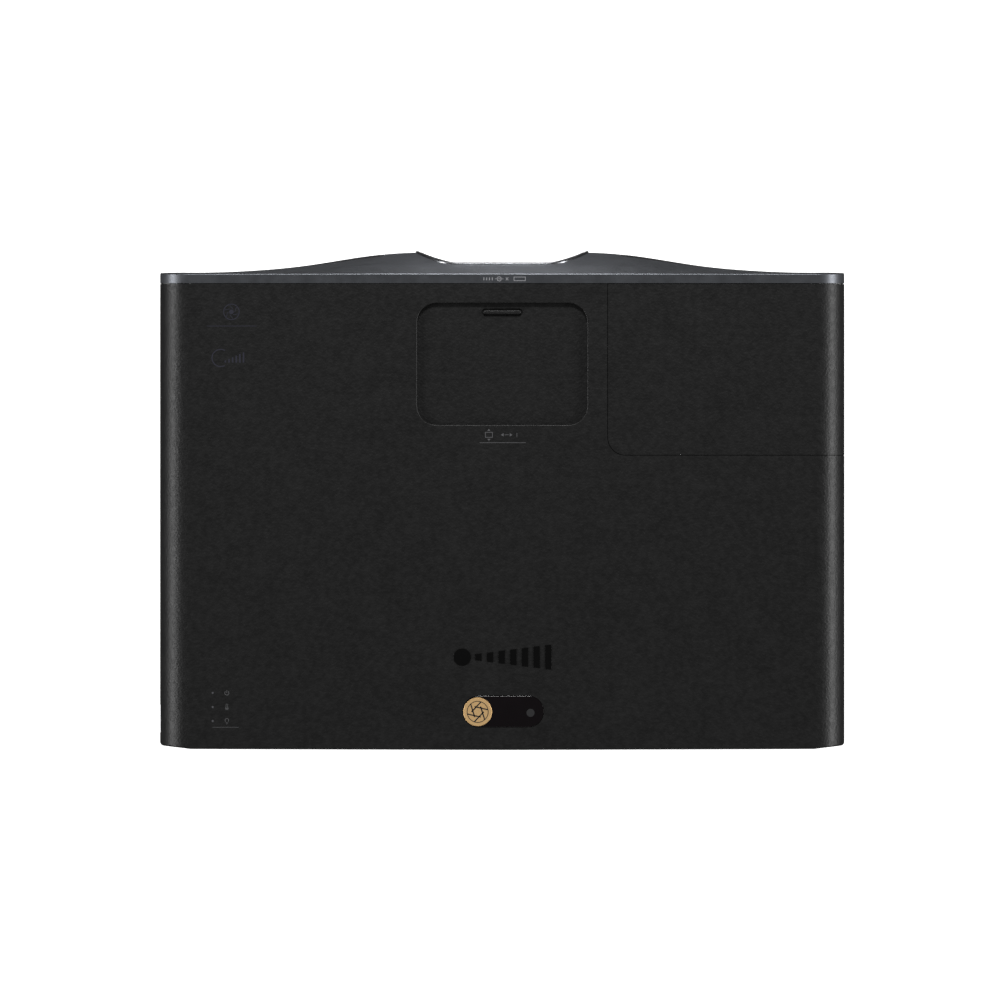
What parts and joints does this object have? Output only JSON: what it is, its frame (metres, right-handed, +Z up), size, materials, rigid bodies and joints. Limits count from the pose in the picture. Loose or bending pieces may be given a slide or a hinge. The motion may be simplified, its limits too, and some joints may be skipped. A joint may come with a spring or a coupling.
{
  "type": "home projector",
  "caption": "Wide low home-cinema projector with a shifting zoom lens behind a bulged front bezel, a sliding lens-shift door, a lamp cover and a side keypad.",
  "frame": {"origin": "on the table, under the middle of the casing", "axes": "+Z up, -Y towards the screen (lens side), +X to the right of someone facing the lens"},
  "size_m": [0.4934, 0.36, 0.135],
  "materials": {
    "cover_black": "fine leather grain",
    "bezel_slate": "satin",
    "trim_black": "satin",
    "window_black": "gloss",
    "badge_gold": "brushed",
    "inner_black": "moulded",
    "key_black": "satin",
    "foot_rubber": "matt",
    "steel": "plated",
    "casting": "die cast",
    "lens_black": "black anodised",
    "optics": "coated",
    "circuit": "solder mask",
    "light_guide": "frosted",
    "reflector": "polished"
  },
  "bodies": {
    "root": {"badge_disc": "badge_gold", "bottom_case": "cover_black", "case_screws": "steel", "chip_board": "circuit", "chip_heatsink": "casting", "cross_rods": "steel", "door_track": "inner_black", "exhaust_fan_frame": "inner_black", "front_bezel": "bezel_slate", "front_grille_left": "inner_black", "front_grille_right": "inner_black", "intake_fan_frame": "inner_black", "keypad_bezel": "inner_black", "lamp_housing": "inner_black", "lamp_reflector": "reflector", "lens_throat": "inner_black", "lens_trim": "trim_black", "light_duct": "casting", "light_pipes": "light_guide", "light_tunnel": "reflector", "main_board": "circuit", "mains_inlet": "inner_black", "optical_engine": "casting", "power_supply": "circuit", "prism": "optics", "rear_feet": "foot_rubber", "rear_panel": "inner_black", "relay_lenses": "optics", "sensor_window": "window_black", "shift_base": "casting", "signal_sockets": "steel", "top_cover": "cover_black", "wheel_motor": "steel"},
    "shift_door": {"shift_door": "cover_black"},
    "lamp_cover": {"lamp_cover": "cover_black"},
    "lamp_cover_screw": {"lamp_cover_screw": "steel"},
    "cross_carriage": {"cross_carriage": "casting", "lift_rods": "steel"},
    "lens_carriage": {"lens_carriage": "casting", "lens_barrel": "lens_black"},
    "vertical_dial": {"vertical_dial": "inner_black"},
    "horizontal_dial": {"horizontal_dial": "inner_black"},
    "focus_ring": {"focus_ring": "lens_black"},
    "zoom_ring": {"zoom_ring": "lens_black"},
    "focus_group": {"focus_cell": "lens_black", "front_lens": "optics"},
    "zoom_group": {"zoom_cell": "lens_black", "zoom_lens": "optics"},
    "colour_wheel": {"colour_wheel": "optics"},
    "exhaust_fan_rotor": {"exhaust_fan_rotor": "inner_black"},
    "intake_fan_rotor": {"intake_fan_rotor": "inner_black"},
    "front_foot_left": {"front_foot_left": "foot_rubber"},
    "front_foot_right": {"front_foot_right": "foot_rubber"},
    "power_key": {"power_key": "key_black"},
    "ok_key": {"ok_key": "key_black"},
    "up_key": {"up_key": "key_black"},
    "down_key": {"down_key": "key_black"},
    "left_key": {"left_key": "key_black"},
    "right_key": {"right_key": "key_black"},
    "menu_key": {"menu_key": "key_black"}
  },
  "joints": [
    {"name": "door_slide", "type": "slide", "parent": "root", "child": "shift_door", "axis": [0, 1, 0], "range_m": [0, 0.075]},
    {"name": "lamp_cover_slide", "type": "slide", "parent": "root", "child": "lamp_cover", "axis": [-1, 0, 0], "range_m": [0, 0.03]},
    {"name": "lamp_screw_turn", "type": "hinge", "parent": "lamp_cover", "child": "lamp_cover_screw", "pos_m": [-0.2467, -0.06, 0.066], "axis": [-1, 0, 0], "range_deg": [0, 1080]},
    {"name": "cross_shift", "type": "slide", "parent": "root", "child": "cross_carriage", "axis": [1, 0, 0], "range_m": [-0.003, 0.003]},
    {"name": "lens_lift", "type": "slide", "parent": "cross_carriage", "child": "lens_carriage", "axis": [0, 0, 1], "range_m": [-0.005, 0.005]},
    {"name": "vertical_dial_turn", "type": "hinge", "parent": "cross_carriage", "child": "vertical_dial", "pos_m": [0.044, -0.109, 0.12], "axis": [0, 0, 1], "range_deg": [-455, 455]},
    {"name": "horizontal_dial_turn", "type": "hinge", "parent": "root", "child": "horizontal_dial", "pos_m": [-0.056, -0.109, 0.108], "axis": [1, 0, 0], "range_deg": [-275, 275]},
    {"name": "focus_turn", "type": "hinge", "parent": "lens_carriage", "child": "focus_ring", "pos_m": [0, -0.1565, 0.07], "axis": [0, -1, 0], "range_deg": [-45, 45]},
    {"name": "zoom_turn", "type": "hinge", "parent": "lens_carriage", "child": "zoom_ring", "pos_m": [0, -0.139, 0.07], "axis": [0, -1, 0], "range_deg": [-45, 45]},
    {"name": "focus_travel", "type": "slide", "parent": "lens_carriage", "child": "focus_group", "axis": [0, 1, 0], "range_m": [-0.0021, 0.0021]},
    {"name": "zoom_travel", "type": "slide", "parent": "lens_carriage", "child": "zoom_group", "axis": [0, 1, 0], "range_m": [-0.0041, 0.0041]},
    {"name": "colour_wheel_spin", "type": "hinge", "parent": "root", "child": "colour_wheel", "pos_m": [-0.124, -0.04, 0.07], "axis": [0, 1, 0], "continuous": true},
    {"name": "exhaust_spin", "type": "hinge", "parent": "root", "child": "exhaust_fan_rotor", "pos_m": [-0.2267, 0.055, 0.07], "axis": [-1, 0, 0], "continuous": true},
    {"name": "intake_spin", "type": "hinge", "parent": "root", "child": "intake_fan_rotor", "pos_m": [0.155, -0.13, 0.066], "axis": [0, -1, 0], "continuous": true},
    {"name": "foot_left_height", "type": "slide", "parent": "root", "child": "front_foot_left", "axis": [0, 0, 1], "range_m": [-0.014, 0]},
    {"name": "foot_right_height", "type": "slide", "parent": "root", "child": "front_foot_right", "axis": [0, 0, 1], "range_m": [-0.014, 0]},
    {"name": "power_press", "type": "slide", "parent": "root", "child": "power_key", "axis": [-1, 0, 0], "range_m": [0, 0.0006], "stiffness_N_per_m": 900, "springref_m": -0.0006},
    {"name": "ok_press", "type": "slide", "parent": "root", "child": "ok_key", "axis": [-1, 0, 0], "range_m": [0, 0.0006], "stiffness_N_per_m": 900, "springref_m": -0.0006},
    {"name": "up_press", "type": "slide", "parent": "root", "child": "up_key", "axis": [-1, 0, 0], "range_m": [0, 0.0006], "stiffness_N_per_m": 900, "springref_m": -0.0006},
    {"name": "down_press", "type": "slide", "parent": "root", "child": "down_key", "axis": [-1, 0, 0], "range_m": [0, 0.0006], "stiffness_N_per_m": 900, "springref_m": -0.0006},
    {"name": "left_press", "type": "slide", "parent": "root", "child": "left_key", "axis": [-1, 0, 0], "range_m": [0, 0.0006], "stiffness_N_per_m": 900, "springref_m": -0.0006},
    {"name": "right_press", "type": "slide", "parent": "root", "child": "right_key", "axis": [-1, 0, 0], "range_m": [0, 0.0006], "stiffness_N_per_m": 900, "springref_m": -0.0006},
    {"name": "menu_press", "type": "slide", "parent": "root", "child": "menu_key", "axis": [-1, 0, 0], "range_m": [0, 0.0006], "stiffness_N_per_m": 900, "springref_m": -0.0006}
  ],
  "couplings": [
    {"joint": "vertical_dial_turn", "follows": "lens_lift", "rad_per_m": 1570.8},
    {"joint": "horizontal_dial_turn", "follows": "cross_shift", "rad_per_m": 1570.8},
    {"joint": "focus_travel", "follows": "focus_turn", "m_per_rad": 0.0025465},
    {"joint": "zoom_travel", "follows": "zoom_turn", "m_per_rad": 0.005093}
  ]
}
